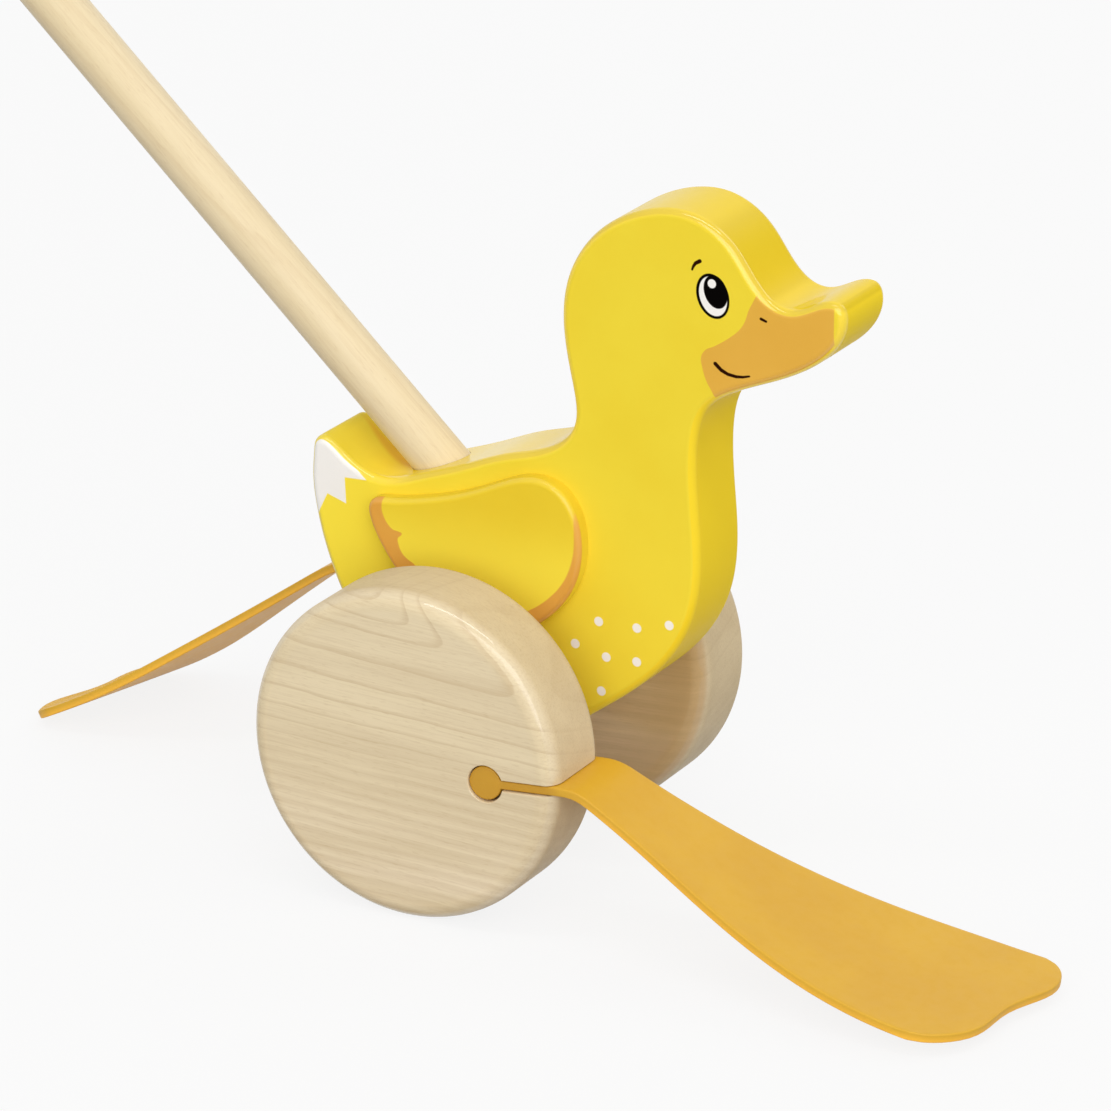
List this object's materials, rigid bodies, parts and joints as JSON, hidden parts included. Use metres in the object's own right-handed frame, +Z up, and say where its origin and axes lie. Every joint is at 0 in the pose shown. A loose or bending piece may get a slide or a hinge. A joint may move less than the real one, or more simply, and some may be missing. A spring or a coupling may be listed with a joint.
{
  "type": "duck push toy",
  "caption": "Flat wooden duck on two wheels that share an axle, with a rubber foot held in a keyhole in each wheel and a long push stick ending in a ball.",
  "frame": {"origin": "on the floor, under the middle of the axle", "axes": "+X is forward, the way the beak points; +Y is the duck's left; +Z is up"},
  "size_m": [0.5621, 0.1216, 0.4705],
  "materials": {
    "yellow_paint": "glossy yellow paint on wood",
    "wing_paint": "glossy amber paint on wood, orange at the feathered edge",
    "wheel_wood": "satin clear lacquer",
    "stick_wood": "satin clear lacquer",
    "axle_wood": "bare",
    "foot_rubber": "smooth"
  },
  "bodies": {
    "duck": {"duck_body": "yellow_paint", "wing_right": "wing_paint", "wing_left": "wing_paint", "push_stick": "stick_wood", "stick_knob": "stick_wood"},
    "wheelset": {"axle": "axle_wood", "spacer_right": "axle_wood", "spacer_left": "axle_wood", "wheel_right": "wheel_wood", "wheel_left": "wheel_wood"},
    "right_foot": {"foot_right": "foot_rubber"},
    "left_foot": {"foot_left": "foot_rubber"}
  },
  "joints": [
    {"name": "wheel_spin", "type": "hinge", "parent": "duck", "child": "wheelset", "pos_m": [0, 0, 0.038], "axis": [0, 1, 0], "continuous": true},
    {"name": "right_foot_flex", "type": "hinge", "parent": "wheelset", "child": "right_foot", "pos_m": [0.03798, -0.036, 0.03702], "axis": [0, 1, 0], "range_deg": [-40, 40], "stiffness_Nm_per_rad": 0.065, "springref_deg": -5.96, "deforming": ["foot_right"]},
    {"name": "left_foot_flex", "type": "hinge", "parent": "wheelset", "child": "left_foot", "pos_m": [-0.03658, 0.036, 0.04829], "axis": [0, 1, 0], "range_deg": [-40, 40], "stiffness_Nm_per_rad": 0.065, "springref_deg": 5.73, "deforming": ["foot_left"]}
  ]
}
